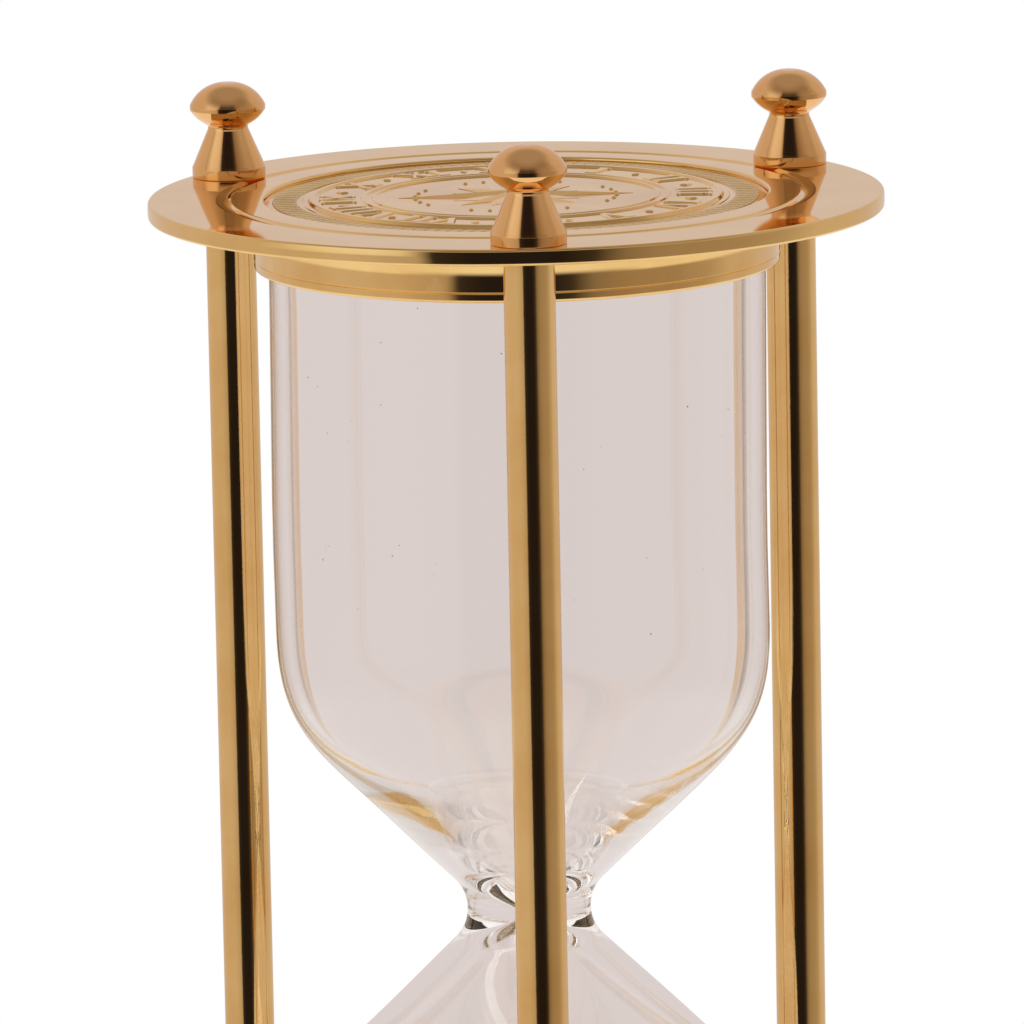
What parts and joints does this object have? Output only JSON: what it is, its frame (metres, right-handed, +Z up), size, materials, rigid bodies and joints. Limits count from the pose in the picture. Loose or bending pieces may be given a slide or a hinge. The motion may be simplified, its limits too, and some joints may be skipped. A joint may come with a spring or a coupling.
{
  "type": "hourglass",
  "caption": "Hourglass: one-piece glass held between round brass plates by turned rods and finial nuts, with embossed discs and cap rings; stands on either end.",
  "frame": {"origin": "centre of the base, level with the tips of the lower finials that it stands on", "axes": "+Z up along the glass's axis; the front rod is at -Y, the other two at +30 and +150 degrees from +X"},
  "size_m": [0.089, 0.089, 0.1996],
  "materials": {
    "polished_brass": "polished",
    "stamped_brass": "satin",
    "collar_brass": "gloss",
    "rod_brass": "gloss",
    "finial_brass": "gloss",
    "cork": "matte",
    "clear_glass": "gloss",
    "sand": "matte"
  },
  "bodies": {
    "frame": {"top_plate": "polished_brass", "bottom_plate": "polished_brass", "top_medallion": "stamped_brass", "bottom_medallion": "stamped_brass", "upper_collar": "collar_brass", "lower_collar": "collar_brass", "upper_cushion": "cork", "lower_cushion": "cork", "rod_front": "rod_brass", "rod_right": "rod_brass", "rod_left": "rod_brass", "glass_bulb": "clear_glass", "sand": "sand"},
    "upper_nut_front": {"upper_finial_front": "finial_brass"},
    "upper_nut_right": {"upper_finial_right": "finial_brass"},
    "upper_nut_left": {"upper_finial_left": "finial_brass"},
    "lower_nut_front": {"lower_finial_front": "finial_brass"},
    "lower_nut_right": {"lower_finial_right": "finial_brass"},
    "lower_nut_left": {"lower_finial_left": "finial_brass"}
  },
  "joints": [
    {"name": "unscrew_upper_front", "type": "hinge", "parent": "frame", "child": "upper_nut_front", "pos_m": [0, -0.0398, 0.188], "axis": [0, 0, 1], "range_deg": [0, 2520]},
    {"name": "unscrew_upper_right", "type": "hinge", "parent": "frame", "child": "upper_nut_right", "pos_m": [0.03447, 0.0199, 0.188], "axis": [0, 0, 1], "range_deg": [0, 2520]},
    {"name": "unscrew_upper_left", "type": "hinge", "parent": "frame", "child": "upper_nut_left", "pos_m": [-0.03447, 0.0199, 0.188], "axis": [0, 0, 1], "range_deg": [0, 2520]},
    {"name": "unscrew_lower_front", "type": "hinge", "parent": "frame", "child": "lower_nut_front", "pos_m": [0, -0.0398, 0.0116], "axis": [0, 0, -1], "range_deg": [0, 2520]},
    {"name": "unscrew_lower_right", "type": "hinge", "parent": "frame", "child": "lower_nut_right", "pos_m": [0.03447, 0.0199, 0.0116], "axis": [0, 0, -1], "range_deg": [0, 2520]},
    {"name": "unscrew_lower_left", "type": "hinge", "parent": "frame", "child": "lower_nut_left", "pos_m": [-0.03447, 0.0199, 0.0116], "axis": [0, 0, -1], "range_deg": [0, 2520]}
  ]
}
